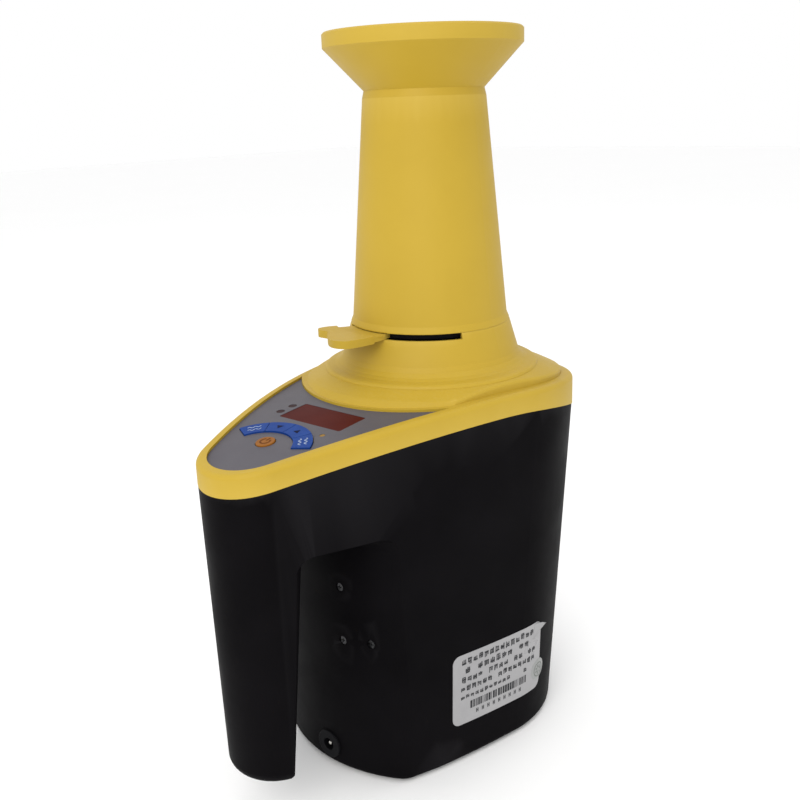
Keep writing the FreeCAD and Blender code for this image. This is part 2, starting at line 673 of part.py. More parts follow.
def plate_block(skin=0.0):
    """Raised plate: a shallow dome, its side wall and the front slope down to the panel."""
    dome = Part.makeSphere(DOME_R - skin, V(0, TUBE_Y, DOME_CENTRE_Z))
    block = plate_prism(PLATE_FOOT_INSET + skin, PLATE_HEAD_INSET + skin).common(dome)
    slope = (PANEL_ARC_R - PLATE_R) / (PLATE_EDGE_Z - PANEL_ARC_Z)
    low_z = 150.0
    low_r = PANEL_ARC_R + slope * (PANEL_ARC_Z - low_z) - skin
    high_z = 215.0
    high_r = PANEL_ARC_R + slope * (PANEL_ARC_Z - high_z) - skin
    front = turned([(0, low_z), (low_r, low_z), (high_r, high_z), (0, high_z)])
    block = block.common(front.fuse(box(-FAR, FAR, TUBE_Y, FAR, low_z, high_z)))
    if skin:
        return block
    centre = V(0, TUBE_Y, DOME_CENTRE_Z)
    return fillet_where(block, PLATE_EDGE_R, lambda p: abs((p - centre).Length - DOME_R) < 0.01)


def rim_slab():
    slab_ = straight(0).common(under_rim()).cut(under_seam(-0.06))
    return fillet_where(slab_, RIM_EDGE_R, lambda p: abs(p.z - rim_z(p.y)) < 0.05 and not (
        abs(p.x) < 1 and abs(p.y - ARCH_Y) < 1))


def rim_z(y):
    """Height of the rim's arched surface at y."""
    radius = RIM_FRONT_R if y < ARCH_Y else RIM_REAR_R
    return RIM_TOP - radius + math.sqrt(radius ** 2 - (y - ARCH_Y) ** 2)


def panel_region(inset, arc_r):
    """Upright prism over the control panel, in front of the raised plate."""
    region = straight(inset).common(box(-FAR, FAR, -FAR, 20, 140, 240))
    return region.cut(cylinder(arc_r, 100, 300))


def key_wire(index, grow=0.0):
    """Arc-shaped key outline on the panel plane, about the keys' common centre."""
    step = (KEY_RING["stop"] - KEY_RING["start"]) / 4
    inner = KEY_RING["inner"] - grow
    outer = KEY_RING["outer"] + grow
    spread = math.degrees((KEY_GAP / 2 - grow) / (0.5 * (inner + outer)))
    a = math.radians(KEY_RING["start"] + step * index + spread)
    b = math.radians(KEY_RING["start"] + step * (index + 1) - spread)

    def at(r, t):
        return V(r * math.cos(t), r * math.sin(t), 0)

    middle = (a + b) / 2
    return Part.Wire([
        Part.Arc(at(inner, a), at(inner, middle), at(inner, b)).toShape(),
        Part.LineSegment(at(inner, b), at(outer, b)).toShape(),
        Part.Arc(at(outer, b), at(outer, middle), at(outer, a)).toShape(),
        Part.LineSegment(at(outer, a), at(inner, a)).toShape()])


def key_placement(depth):
    """Common plane of the keys, at the middle of their arc ring."""
    return on_panel(0, KEY_RING["y"], depth)


def key_middle(index):
    step = (KEY_RING["stop"] - KEY_RING["start"]) / 4
    t = math.radians(KEY_RING["start"] + step * (index + 0.5))
    r = (KEY_RING["inner"] + KEY_RING["outer"]) / 2
    return r * math.cos(t), r * math.sin(t)


def key_solid(index):
    """Key cap standing just proud of the film, with a stem down to its switch."""
    cap = slab(key_wire(index), KEY_CAP_T)
    x, y = key_middle(index)
    stem = Part.makeCylinder(STEM_R, STEM_LENGTH + 0.1, V(x, y, -STEM_LENGTH))
    return placed(cap.fuse(stem), key_placement(KEY_TOP + KEY_CAP_T))


def power_spot():
    """Centre of the power key on the keys' plane."""
    return POWER_KEY["x"], POWER_KEY["y"] - KEY_RING["y"]


def power_key():
    cap = Part.makeCylinder(POWER_KEY["r"], KEY_CAP_T)
    cap = fillet_where(cap, 0.4, lambda p: p.z > KEY_CAP_T - 0.1)
    stem = Part.makeCylinder(STEM_R, STEM_LENGTH + 0.1, V(0, 0, -STEM_LENGTH))
    key = cap.fuse(stem)
    key.translate(V(*power_spot(), 0))
    return placed(key, key_placement(KEY_TOP + KEY_CAP_T))


def key_tools(grow, thickness, depth):
    """Cutters for the four keys and the power key, their upper face at the given depth."""
    tools = []
    for index in range(4):
        tools.append(placed(slab(key_wire(index, grow), thickness), key_placement(depth + thickness)))
    disc = Part.makeCylinder(POWER_KEY["r"] + grow, thickness, V(*power_spot(), 0))
    tools.append(placed(disc, key_placement(depth + thickness)))
    return tools


def stem_spots():
    return [key_middle(index) for index in range(4)] + [power_spot()]


def panel_rod(r, x, y, depth0, depth1):
    """Cylinder along the panel normal between two depths."""
    return placed(Part.makeCylinder(r, depth1 - depth0), on_panel(x, y, depth1))


def panel_plate(w, l, x, y, depth0, depth1, corner=1.0):
    return placed(rounded_plate(w, l, depth1 - depth0, corner), on_panel(x, y, depth1))


def lights():
    return [(x, y, INDICATOR_R) for x, y in INDICATORS] + [STATUS_LED + (1.2,)]


def top_cover():
    """Yellow cover: rim, recessed panel deck, domed plate and the collar that holds the tube."""
    outer = rim_slab().fuse(plate_block())
    outer = outer.fuse(turned([
        (0, 181), (52.0, 181), (52.0, 184.0), (51.5, 184.9), (50.6, 185.4), (47.4, 186.2), (45.4, 187.2),
        (43.6, 189.0), (42.5, 191.4), (38.7, 204.8), (38.2, COLLAR_TOP), (0, COLLAR_TOP)]))
    outer = outer.cut(panel_region(PANEL_INSET, PANEL_ARC_R).cut(under_rim(RECESS_DEPTH)))
    hollow = straight(WALL).common(under_rim(DECK_DEPTH))
    lifted = plate_block(COVER_SKIN).cut(cylinder(HOLLOW_CORE_R, 181, 230))
    hollow = hollow.fuse(lifted)
    hollow = hollow.cut(ring(THROAT_R + COVER_SKIN, THROAT_R - 1, THROAT_BOTTOM, 200))
    cover = outer.cut(hollow)
    cover = cover.cut(cylinder(THROAT_R, 140, 230)).cut(cylinder(BORE_R, LEDGE_Z, 230))
    cover = cover.cut(sector(60, NOTCH_LEFT, NOTCH_RIGHT, NOTCH_FLOOR, 230))
    for x, y in BOSSES:
        boss = cylinder(BOSS_R, BOSS_MEET_Z, 200, x, y)
        below = cylinder(BOSS_R, BOSS_MEET_Z, 178, x, y)
        cover = cover.fuse(boss.common(plate_block().fuse(below) if y > 0 else below.common(under_rim(3))))
        cover = cover.cut(cylinder(SCREW_R + 0.02, BOSS_MEET_Z - 1, BOSS_MEET_Z + 13, x, y))
    for tool in key_tools(KEY_PLAY, 8, KEY_POCKET_DEPTH - 8):
        cover = cover.cut(tool)
    for x, y in stem_spots():
        stem = Part.makeCylinder(STEM_R + 0.3, 8, V(x, y, 0))
        cover = cover.cut(placed(stem, key_placement(9)))
    cover = cover.cut(panel_plate(DISPLAY["w"] + 0.2, DISPLAY["h"] + 0.2, DISPLAY["x"], DISPLAY["y"], 0, 8))
    for x, y, r in lights():
        cover = cover.cut(panel_rod(r + 0.1, x, y, 0, 8))
    return cover


def panel_overlay():
    """Printed film that fills the panel recess, cut out for keys, window and lights."""
    film = panel_region(PANEL_INSET + 0.15, PANEL_ARC_R + 0.15)
    film = film.common(under_rim(FILM_TOP)).cut(under_rim(RECESS_DEPTH))
    for tool in key_tools(KEY_PLAY, 8, -4):
        film = film.cut(tool)
    film = film.cut(panel_plate(DISPLAY["w"] + 0.2, DISPLAY["h"] + 0.2, DISPLAY["x"], DISPLAY["y"], 0, 8))
    for x, y, r in lights():
        film = film.cut(panel_rod(r + 0.1, x, y, 0, 8))
    return film


def display_window():
    window = panel_plate(DISPLAY["w"], DISPLAY["h"], DISPLAY["x"], DISPLAY["y"], FILM_TOP + 0.15,
                         DECK_DEPTH + 0.4)
    return window.fuse(panel_plate(DISPLAY["w"] + 2.6, DISPLAY["h"] + 2.6, DISPLAY["x"], DISPLAY["y"],
                                   DECK_DEPTH + 0.3, DECK_DEPTH + 1.5))


def display_module():
    x = DISPLAY["x"]
    y = DISPLAY["y"]
    top = DECK_DEPTH + 1.7
    module = panel_plate(DISPLAY["w"] - 1, DISPLAY["h"] - 1, x, y, top, top + 6, 0.5)
    for k in range(6):
        for side in (-1, 1):
            px = x + 5.08 * (k - 2.5)
            module = module.fuse(panel_rod(0.35, px, y + side * 6, top + 5.9, BOARD_DEPTH + 0.2))
    return module


def indicator_leds():
    return [panel_rod(INDICATOR_R, x, y, FILM_TOP + 0.1, BOARD_DEPTH - 0.6) for x, y in INDICATORS]


def status_led():
    return panel_rod(1.2, STATUS_LED[0], STATUS_LED[1], FILM_TOP + 0.1, BOARD_DEPTH - 0.6)


def standoff_spots():
    return [(-15.0, -90.0), (15.0, -90.0), (-32.0, -38.0), (32.0, -38.0)]


def panel_board():
    corners = [(-17, -95), (17, -95), (36.5, -33), (-36.5, -33)]
    wire = Part.makePolygon([V(x, y + 60, 0) for x, y in corners + corners[:1]])
    board = placed(slab(wire, BOARD_T), on_panel(0, -60, BOARD_DEPTH + BOARD_T))
    for x, y in standoff_spots():
        board = board.cut(board_rod(1.2, x, y, -3, 3))
    for k in range(6):
        for side in (-1, 1):
            px = DISPLAY["x"] + 5.08 * (k - 2.5)
            board = board.cut(panel_rod(0.5, px, DISPLAY["y"] + side * 6, BOARD_DEPTH - 3, BOARD_DEPTH + 5))
    return board


def board_rod(r, x, y, z0, z1):
    """Cylinder square to the panel board, its heights measured up from the board's upper face."""
    rod = Part.makeCylinder(r, z1 - z0, V(x, y + 60, z0))
    return placed(rod, on_panel(0, -60, BOARD_DEPTH))


def board_standoffs():
    """Spacers between the board and the deck, which curves down towards both ends."""
    spacers = []
    for x, y in standoff_spots():
        top = BOARD_DEPTH - DECK_DEPTH - (y + 60) ** 2 / (2 * RIM_FRONT_R) - 0.3
        spacers.append(board_rod(2.6, x, y, 0.05, top).cut(board_rod(1.2, x, y, -1, 6)))
    return spacers


def board_screws():
    return [board_rod(2.4, x, y, -BOARD_T - 1.55, -BOARD_T - 0.05).fuse(
        board_rod(1.1, x, y, -BOARD_T - 0.1, 5)) for x, y in standoff_spots()]


def tact_switches():
    """One small push switch on the board under each key stem."""
    top = KEY_TOP + KEY_CAP_T + STEM_LENGTH + SWITCH_GAP
    switches = []
    for x, y in stem_spots():
        body = Part.makeBox(6, 6, BOARD_DEPTH - SWITCH_LIFT - top - 1, V(x - 3, y - 3, 0))
        button = Part.makeCylinder(1.7, BOARD_DEPTH - SWITCH_LIFT - top, V(x, y, 0))
        switches.append(placed(body.fuse(button), key_placement(BOARD_DEPTH - SWITCH_LIFT)))
    return switches


# ------------------------------------------------------------------ filling tube
def tube_r(z):
    """Outer radius of the conical tube at a height."""
    t = (z - TUBE_FOOT_Z) / (TUBE_NECK_Z - TUBE_FOOT_Z)
    return TUBE_FOOT_R + (TUBE_NECK_R - TUBE_FOOT_R) * t


def drop_tube():
    """Conical tube with a flange on the collar; its skirt is cut away where the lever comes out."""
    tube = turned([
        (TUBE_FOOT_R, SKIRT_BOTTOM), (TUBE_FOOT_R, FLANGE_Z), (FLANGE_R, FLANGE_Z),
        (FLANGE_R, FLANGE_Z + 0.5), (tube_r(FLANGE_TOP_Z), FLANGE_TOP_Z), (TUBE_NECK_R, TUBE_NECK_Z),
        (TUBE_NECK_R - TUBE_WALL, TUBE_NECK_Z), (TUBE_FOOT_R - TUBE_WALL, TUBE_FOOT_Z),
        (TUBE_FOOT_R - TUBE_WALL, SKIRT_BOTTOM)])
    tube = tube.cut(sector(60, NOTCH_LEFT - 1, NOTCH_RIGHT + 1, 190, FLANGE_Z))
    for b in FOOT_SCREWS:
        tube = tube.cut(radial(FOOT_SCREW_R + 0.05, b, 30, 40))
    return tube


def radial(r, bearing_deg, r0, r1):
    """Level cylinder pointing outwards from the tube axis through the skirt."""
    z = (SKIRT_BOTTOM + FOOT_RING_TOP) / 2
    start = bearing(r0, bearing_deg, z)
    return Part.makeCylinder(r, r1 - r0, start, bearing(1, bearing_deg, z) - V(0, TUBE_Y, z))


def foot_screws():
    return [radial(FOOT_SCREW_R, b, 33.4, TUBE_FOOT_R - 0.2) for b in FOOT_SCREWS]


def foot_ring():
    """Ring under the shutter: a flange on the collar's ledge and a spigot inside the skirt."""
    foot = turned([
        (33.0, LEDGE_Z), (TUBE_FOOT_R, LEDGE_Z), (TUBE_FOOT_R, SKIRT_BOTTOM),
        (TUBE_FOOT_R - TUBE_WALL - 0.05, SKIRT_BOTTOM), (TUBE_FOOT_R - TUBE_WALL - 0.05, FOOT_RING_TOP),
        (33.0, FOOT_RING_TOP)])
    for b in FOOT_SCREWS:
        foot = foot.cut(radial(FOOT_SCREW_R + 0.05, b, 30, 40))
    return foot


def funnel():
    """Flared filling funnel with a band rim, its spigot inside the tube's neck."""
    spigot = tube_r(TUBE_NECK_Z) - TUBE_WALL - 0.05
    return turned([
        (spigot - 2, 300.0), (spigot, 300.0), (spigot, TUBE_NECK_Z), (TUBE_NECK_R, TUBE_NECK_Z),
        (27.7, SLEEVE_TOP_Z), (RIM_R - 1.2, RIM_LOW_Z - 1.2), (RIM_R, RIM_LOW_Z),
        (RIM_R, FUNNEL_TOP_Z - 0.8), (RIM_R - 0.8, FUNNEL_TOP_Z), (RIM_R - 2.0, FUNNEL_TOP_Z),
        (RIM_R - 2.8, FUNNEL_TOP_Z - 0.8), (RIM_R - 2.8, RIM_LOW_Z + 0.6), (spigot - 2, SLEEVE_TOP_Z)])


def windows(r, half, z0, z1, turn=0.0):
    cut = []
    for k in range(BLADES):
        middle = WINDOW_BEARING + turn + 360.0 / BLADES * k
        cut.append(sector(r, middle - half, middle + half, z0, z1))
    return cut


def shutter_seat():
    """Fixed disc inside the tube with three openings above the rotary shutter."""
    seat = cylinder(SEAT_R, SEAT_Z, SEAT_Z + SEAT_T)
    for cut in windows(WINDOW_R, WINDOW_ANGLE / 2, SEAT_Z - 1, SEAT_Z + SEAT_T + 1):
        seat = seat.cut(cut)
    seat = seat.fuse(cylinder(HUB_R, SEAT_Z, SEAT_Z + SEAT_T))
    return seat.cut(cylinder(PIVOT_R + PIVOT_PLAY, SEAT_Z - 1, SEAT_Z + SEAT_T + 1))


def lever_wire(z):
    """Plan of the finger lever: a broad root that ends in two rounded horns."""
    ends = [
        (39.0, LEVER_LEFT), (47.0, -32.6), (53.4, -32.0), (56.2, -29.6), (56.1, -25.8), (54.4, -21.2),
        (56.4, -16.4), (60.6, -9.4), (62.6, -4.2), (61.2, 1.6), (55.0, 4.8), (47.0, 7.0),
        (39.0, LEVER_RIGHT)]
    curve = Part.BSplineCurve()
    curve.interpolate([bearing(r, b, z) for r, b in ends])
    root = SHUTTER_R + 0.05
    left = bearing(root, LEVER_LEFT, z)
    right = bearing(root, LEVER_RIGHT, z)
    middle = bearing(root, (LEVER_LEFT + LEVER_RIGHT) / 2, z)
    return Part.Wire([
        curve.toShape(), Part.LineSegment(bearing(39.0, LEVER_RIGHT, z), right).toShape(),
        Part.Arc(right, middle, left).toShape(),
        Part.LineSegment(left, bearing(39.0, LEVER_LEFT, z)).toShape()])


def shutter_disc():
    """Three-bladed rotary shutter, closed at rest, with a thin tongue under its lever."""
    disc = cylinder(SHUTTER_R, SHUTTER_Z, SHUTTER_Z + SHUTTER_T)
    turn = 180.0 / BLADES
    half = 180.0 / BLADES - BLADE_ANGLE / 2
    for cut in windows(SHUTTER_R - 2, half, SHUTTER_Z - 1, SHUTTER_Z + SHUTTER_T + 1, turn):
        disc = disc.cut(cut)
    disc = disc.fuse(cylinder(HUB_R, SHUTTER_Z, SHUTTER_Z + SHUTTER_T))
    tongue = sector(LAP_R, LEVER_LEFT + 4, LEVER_RIGHT - 4, SHUTTER_Z, SHUTTER_Z + LAP_T)
    disc = disc.fuse(tongue.cut(cylinder(SHUTTER_R - 1, SHUTTER_Z - 1, SHUTTER_Z + 2)))
    return disc.cut(cylinder(PIVOT_R + PIVOT_PLAY, SHUTTER_Z - 1, SHUTTER_Z + SHUTTER_T + 1))


def shutter_lever():
    """Finger lever lapped over the disc's tongue, thicker outside the collar."""
    arm = slab(lever_wire(SHUTTER_Z), SHUTTER_T)
    low = SHUTTER_Z - LEVER_DROP
    pad = slab(lever_wire(low), LEVER_DROP + SHUTTER_T + LEVER_PAD).cut(cylinder(46.5, low - 1, low + 9))
    lap = sector(LAP_R + 0.05, LEVER_LEFT + 3.9, LEVER_RIGHT - 3.9, SHUTTER_Z - 1, SHUTTER_Z + LAP_T + 0.05)
    return arm.fuse(pad).cut(lap)


def pivot_screw():
    head_z = SEAT_Z + SEAT_T
    head = fillet_where(cylinder(3.8, head_z, head_z + 2.4), 0.8, lambda p: p.z > head_z + 2)
    head = head.cut(box(-4, 4, TUBE_Y - 0.5, TUBE_Y + 0.5, head_z + 1.4, head_z + 3))
    return head.fuse(cylinder(PIVOT_R, SHUTTER_Z - 5.5, head_z + 0.1))


def pivot_washer():
    return ring(5.0, PIVOT_R + 0.05, SHUTTER_Z - 1.3, SHUTTER_Z - 0.3)


def pivot_nut():
    z = SHUTTER_Z - 4.5
    face = Part.Face(Part.makePolygon([bearing(4.0, 60 * k, z) for k in range(7)]))
    return face.extrude(V(0, 0, 3.2)).cut(cylinder(PIVOT_R + 0.02, z - 1, z + 5))


def main():
    os.makedirs("parts", exist_ok=True)
    socket, pin, nut = dc_socket()
    export("base_shell", base_shell())
    export("rubber_feet", *rubber_feet())
    export("battery_door", battery_door())
    export("battery_box", battery_box())
    export("battery_cells", *battery_cells())
    export("battery_contacts", *battery_contacts())
    export("dc_socket_body", socket)
    export("dc_socket_pin", pin)
    export("dc_socket_nut", nut)
    export("bracket_screws", *bracket_screws())
    export("main_board", main_board())
    export("main_board_screws", *main_board_screws())
    export("cover_screws", *cover_screws())
    export("label_sticker", label_sticker())
    export("load_cell_post", load_cell_post())
    export("load_cell_beam", load_cell_beam())
    export("load_cell_screws", *load_cell_screws())
    export("cell_tray", cell_tray())
    export("cell_posts", *cell_posts())
    export("cell_board", cell_board())
    export("cell_base", cell_base())
    export("cell_outer_electrode", cell_outer_electrode())
    export("cell_core_electrode", cell_core_electrode())
    export("temperature_probe", temperature_probe())
    export("top_cover", top_cover())
    export("panel_overlay", panel_overlay())
    export("display_window", display_window())
    export("display_module", display_module())
    export("indicator_leds", *indicator_leds())
    export("status_led", status_led())
    export("panel_board", panel_board())
    export("board_standoffs", *board_standoffs())
    export("board_screws", *board_screws())
    export("tact_switches", *tact_switches())
    for index in range(4):
        export("key_%d" % (index + 1), key_solid(index))
    export("power_key", power_key())
    export("drop_tube", drop_tube())
    export("funnel", funnel())
    export("shutter_seat", shutter_seat())
    export("foot_ring", foot_ring())
    export("foot_screws", *foot_screws())
    export("pivot_screw", pivot_screw())
    export("pivot_washer", pivot_washer())
    export("pivot_nut", pivot_nut())
    export("shutter_disc", shutter_disc())
    export("shutter_lever", shutter_lever())


main()
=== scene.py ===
"""Grain moisture meter: materials, printed details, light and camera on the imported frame."""
import bpy
import bmesh
import json
import math
import random
from mathutils import Matrix, Vector
from mathutils.bvhtree import BVHTree


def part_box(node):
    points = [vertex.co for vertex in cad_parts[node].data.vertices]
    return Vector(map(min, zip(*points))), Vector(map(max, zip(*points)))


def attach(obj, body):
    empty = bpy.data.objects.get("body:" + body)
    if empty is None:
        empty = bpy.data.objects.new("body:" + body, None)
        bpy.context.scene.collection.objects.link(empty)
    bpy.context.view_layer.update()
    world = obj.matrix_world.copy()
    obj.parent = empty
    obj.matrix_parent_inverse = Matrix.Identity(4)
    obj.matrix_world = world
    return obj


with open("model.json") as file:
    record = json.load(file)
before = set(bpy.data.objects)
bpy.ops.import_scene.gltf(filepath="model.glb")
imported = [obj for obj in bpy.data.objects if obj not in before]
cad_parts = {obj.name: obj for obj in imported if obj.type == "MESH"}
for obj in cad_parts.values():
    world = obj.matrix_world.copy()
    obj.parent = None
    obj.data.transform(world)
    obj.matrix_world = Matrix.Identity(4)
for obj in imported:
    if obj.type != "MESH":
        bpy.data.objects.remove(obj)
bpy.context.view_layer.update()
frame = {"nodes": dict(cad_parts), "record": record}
MM = 0.001
NODES = frame["nodes"]


# ------------------------------------------------------------------ materials
TOOL_LINE_SCALE = 900.0
TOOL_LINE_BUMP = 0.08
SHEEN_SCALE = 38.0
DUST_SCALE = 900.0
COAT_ROUGHNESS = 0.18


def new_material(name):
    mat = bpy.data.materials.new(name)
    mat.use_nodes = True
    tree = mat.node_tree
    return mat, tree, tree.nodes["Principled BSDF"]


def node(tree, kind, **settings):
    made = tree.nodes.new(kind)
    for key, value in settings.items():
        if hasattr(made, key):
            setattr(made, key, value)
        else:
            made.inputs[key].default_value = value
    return made


def link(tree, a, out, b, into):
    tree.links.new(a.outputs[out], b.inputs[into])


def noise(tree, coords, scale, detail, roughness=0.55):
    made = node(tree, "ShaderNodeTexNoise", Scale=scale, Detail=detail, Roughness=roughness)
    link(tree, coords, "Object", made, "Vector")
    return made


def ramp(tree, source, out, low, high, a, b):
    """Maps the values from a to b onto low to high."""
    made = node(tree, "ShaderNodeMapRange")
    made.inputs["From Min"].default_value = a
    made.inputs["From Max"].default_value = b
    made.inputs["To Min"].default_value = low
    made.inputs["To Max"].default_value = high
    link(tree, source, out, made, "Value")
    return made


def mixed(tree, factor, out, first, second):
    made = node(tree, "ShaderNodeMix", data_type="RGBA")
    made.inputs[6].default_value = (*first, 1)
    made.inputs[7].default_value = (*second, 1)
    tree.links.new(factor.outputs[out], made.inputs[0])
    return made


def plastic(name, color, other, rough, grain, bump, coat=0.0, spec=0.5, patch=14.0, dust=None):
    """Moulded plastic: slow colour drift, fine spark-eroded grain, uneven sheen, faint dust on top."""
    mat, tree, shader = new_material(name)
    coords = node(tree, "ShaderNodeTexCoord")
    slow = noise(tree, coords, patch, 4.0)
    colour = mixed(tree, ramp(tree, slow, "Fac", 0.0, 1.0, 0.3, 0.7), "Result", color, other)
    last = colour
    if dust:
        geometry = node(tree, "ShaderNodeNewGeometry")
        split = node(tree, "ShaderNodeSeparateXYZ")
        link(tree, geometry, "Normal", split, "Vector")
        upward = ramp(tree, split, "Z", 0.0, 0.16, 0.5, 1.0)
        specks = ramp(tree, noise(tree, coords, DUST_SCALE, 6.0, 0.7), "Fac", 0.0, 1.0, 0.45, 0.75)
        both = node(tree, "ShaderNodeMath", operation="MULTIPLY")
        link(tree, upward, "Result", both, 0)
        link(tree, specks, "Result", both, 1)
        last = node(tree, "ShaderNodeMix", data_type="RGBA")
        tree.links.new(both.outputs[0], last.inputs[0])
        tree.links.new(colour.outputs[2], last.inputs[6])
        last.inputs[7].default_value = (*dust, 1)
    tree.links.new(last.outputs[2], shader.inputs["Base Color"])
    sheen = noise(tree, coords, SHEEN_SCALE, 5.0)
    link(tree, ramp(tree, sheen, "Fac", rough[0], rough[1], 0.3, 0.7), "Result", shader, "Roughness")
    fine = noise(tree, coords, grain, 2.0)
    lift = node(tree, "ShaderNodeBump", Strength=bump, Distance=0.0002)
    link(tree, fine, "Fac", lift, "Height")
    link(tree, lift, "Normal", shader, "Normal")
    shader.inputs["Specular IOR Level"].default_value = spec
    if coat:
        shader.inputs["Coat Weight"].default_value = coat
        shader.inputs["Coat Roughness"].default_value = COAT_ROUGHNESS
    return mat


def metal(name, color, rough, stretch=(1, 1, 1)):
    """Worked metal with tool lines along one direction."""
    mat, tree, shader = new_material(name)
    coords = node(tree, "ShaderNodeTexCoord")
    mapping = node(tree, "ShaderNodeMapping")
    mapping.inputs["Scale"].default_value = stretch
    link(tree, coords, "Object", mapping, "Vector")
    lines = node(tree, "ShaderNodeTexNoise", Scale=TOOL_LINE_SCALE, Detail=3.0)
    link(tree, mapping, "Vector", lines, "Vector")
    dark = tuple(c * 0.82 for c in color)
    colour = mixed(tree, lines, "Fac", dark, color)
    tree.links.new(colour.outputs[2], shader.inputs["Base Color"])
    link(tree, ramp(tree, lines, "Fac", rough * 0.75, rough * 1.3, 0.3, 0.7), "Result", shader, "Roughness")
    lift = node(tree, "ShaderNodeBump", Strength=TOOL_LINE_BUMP, Distance=0.0001)
    link(tree, lines, "Fac", lift, "Height")
    link(tree, lift, "Normal", shader, "Normal")
    shader.inputs["Metallic"].default_value = 1.0
    return mat


def painted_edge_highlight(mat, light, amount):
    """Painted highlight: lighter line along convex edges, standing in for light catching the rounded edges."""
    tree = mat.node_tree
    shader = tree.nodes["Principled BSDF"]
    source = shader.inputs["Base Color"].links[0].from_socket
    geometry = node(tree, "ShaderNodeNewGeometry")
    edge = ramp(tree, geometry, "Pointiness", 0.0, amount, 0.53, 0.62)
    over = node(tree, "ShaderNodeMix", data_type="RGBA")
    tree.links.new(edge.outputs["Result"], over.inputs[0])
    tree.links.new(source, over.inputs[6])
    over.inputs[7].default_value = (*light, 1)
    tree.links.new(over.outputs[2], shader.inputs["Base Color"])


YELLOW = plastic("yellow_moulding", (0.430, 0.287, 0.024), (0.468, 0.314, 0.028), (0.46, 0.58), 2600, 0.14,
                 spec=0.25, dust=(0.50, 0.41, 0.17))
# Painted highlight along the convex edges of the yellow moulding
painted_edge_highlight(YELLOW, (0.58, 0.41, 0.08), 0.4)
BLACK = plastic("black_moulding", (0.0025, 0.0022, 0.0027), (0.0043, 0.0038, 0.0046), (0.42, 0.56), 2400, 0.2,
                spec=0.022, patch=22.0, dust=(0.015, 0.015, 0.0155))
# Painted highlight along the convex edges of the black moulding, the faint sheen on its rounded corners
painted_edge_highlight(BLACK, (0.020, 0.019, 0.021), 0.4)
FILM = plastic("panel_print", (0.084, 0.079, 0.093), (0.098, 0.093, 0.107), (0.34, 0.46), 5200, 0.10, spec=0.1,
               patch=40.0)
BLUE = plastic("key_print", (0.009, 0.040, 0.200), (0.013, 0.052, 0.240), (0.34, 0.46), 5200, 0.10,
               spec=0.05, patch=120.0)
ORANGE = plastic("power_print", (0.225, 0.082, 0.012), (0.265, 0.102, 0.017), (0.34, 0.46), 5200, 0.10,
                 spec=0.06, patch=160.0)
WHITE_INK = plastic("white_ink", (0.22, 0.28, 0.42), (0.30, 0.36, 0.50), (0.4, 0.5), 5200, 0.05, spec=0.1,
                    patch=300.0)
DARK_INK = plastic("dark_ink", (0.004, 0.006, 0.03), (0.007, 0.009, 0.04), (0.4, 0.5), 5200, 0.05, spec=0.03,
                   patch=300.0)
BROWN_INK = plastic("brown_ink", (0.10, 0.030, 0.006), (0.13, 0.042, 0.009), (0.4, 0.5), 5200, 0.05, spec=0.03,
                    patch=300.0)
BLACK_INK = plastic("label_ink", (0.020, 0.020, 0.022), (0.048, 0.048, 0.052), (0.4, 0.5), 5200, 0.05, spec=0.1,
                    patch=420.0)
PAPER = plastic("label_paper", (0.310, 0.307, 0.314), (0.35, 0.346, 0.352), (0.26, 0.38), 3000, 0.10, coat=0.08,
                spec=0.25, patch=30.0)
SEAL = plastic("seal_paper", (0.275, 0.282, 0.276), (0.312, 0.320, 0.314), (0.3, 0.4), 3000, 0.10, coat=0.1,
               spec=0.2, patch=90.0)
SEAL_INK = plastic("seal_ink", (0.09, 0.10, 0.09), (0.13, 0.145, 0.13), (0.4, 0.5), 3000, 0.05, patch=300.0)
RED = plastic("red_filter", (0.062, 0.007, 0.005), (0.078, 0.010, 0.006), (0.28, 0.38), 900, 0.02, spec=0.02,
              patch=60.0)
LED_RED = plastic("led_red", (0.022, 0.008, 0.009), (0.034, 0.011, 0.012), (0.3, 0.4), 900, 0.02, spec=0.04,
                  patch=200.0)
LED_AMBER = plastic("led_amber", (0.22, 0.12, 0.015), (0.28, 0.16, 0.02), (0.25, 0.35), 900, 0.02, spec=0.1,
                    patch=200.0)
SOCKET = plastic("socket_moulding", (0.004, 0.004, 0.005), (0.007, 0.007, 0.008), (0.4, 0.5), 3000, 0.10,
                 spec=0.05)
RUBBER = plastic("foot_rubber", (0.018, 0.018, 0.018), (0.03, 0.03, 0.03), (0.75, 0.9), 1500, 0.4, spec=0.3)
BOARD = plastic("solder_mask", (0.012, 0.10, 0.045), (0.018, 0.14, 0.06), (0.25, 0.35), 1200, 0.05, coat=0.3)
INSULATOR = plastic("insulator", (0.62, 0.62, 0.58), (0.68, 0.68, 0.64), (0.4, 0.5), 2000, 0.08)
SLEEVE = plastic("cell_sleeve", (0.02, 0.02, 0.025), (0.035, 0.034, 0.04), (0.2, 0.3), 900, 0.04, coat=0.3)
STEEL = metal("plated_steel", (0.62, 0.60, 0.56), 0.25)
SCREW = metal("dark_steel", (0.085, 0.085, 0.09), 0.42)
TURNED = metal("turned_steel", (0.66, 0.66, 0.66), 0.22, (1, 1, 14))
ALU = metal("milled_aluminium", (0.72, 0.73, 0.74), 0.34, (1, 16, 1))
BRASS = metal("turned_brass", (0.72, 0.50, 0.20), 0.28, (1, 1, 12))

FINISH = {
    "yellow_plastic": YELLOW, "black_plastic": BLACK, "rubber": RUBBER, "battery_wrap": SLEEVE,
    "plated_steel": STEEL, "dark_steel": SCREW, "polished_steel": TURNED, "socket_plastic": SOCKET,
    "circuit_board": BOARD, "label_film": PAPER, "aluminium": ALU, "brass": BRASS,
    "white_plastic": INSULATOR, "panel_film": FILM, "red_filter": RED, "led_red": LED_RED,
    "led_amber": LED_AMBER, "key_blue": BLUE, "key_orange": ORANGE,
}
for part in frame["record"]["subparts"]:
    obj = NODES[part["node"]]
    obj.data.materials.clear()
    obj.data.materials.append(FINISH[part["material_slot"]])


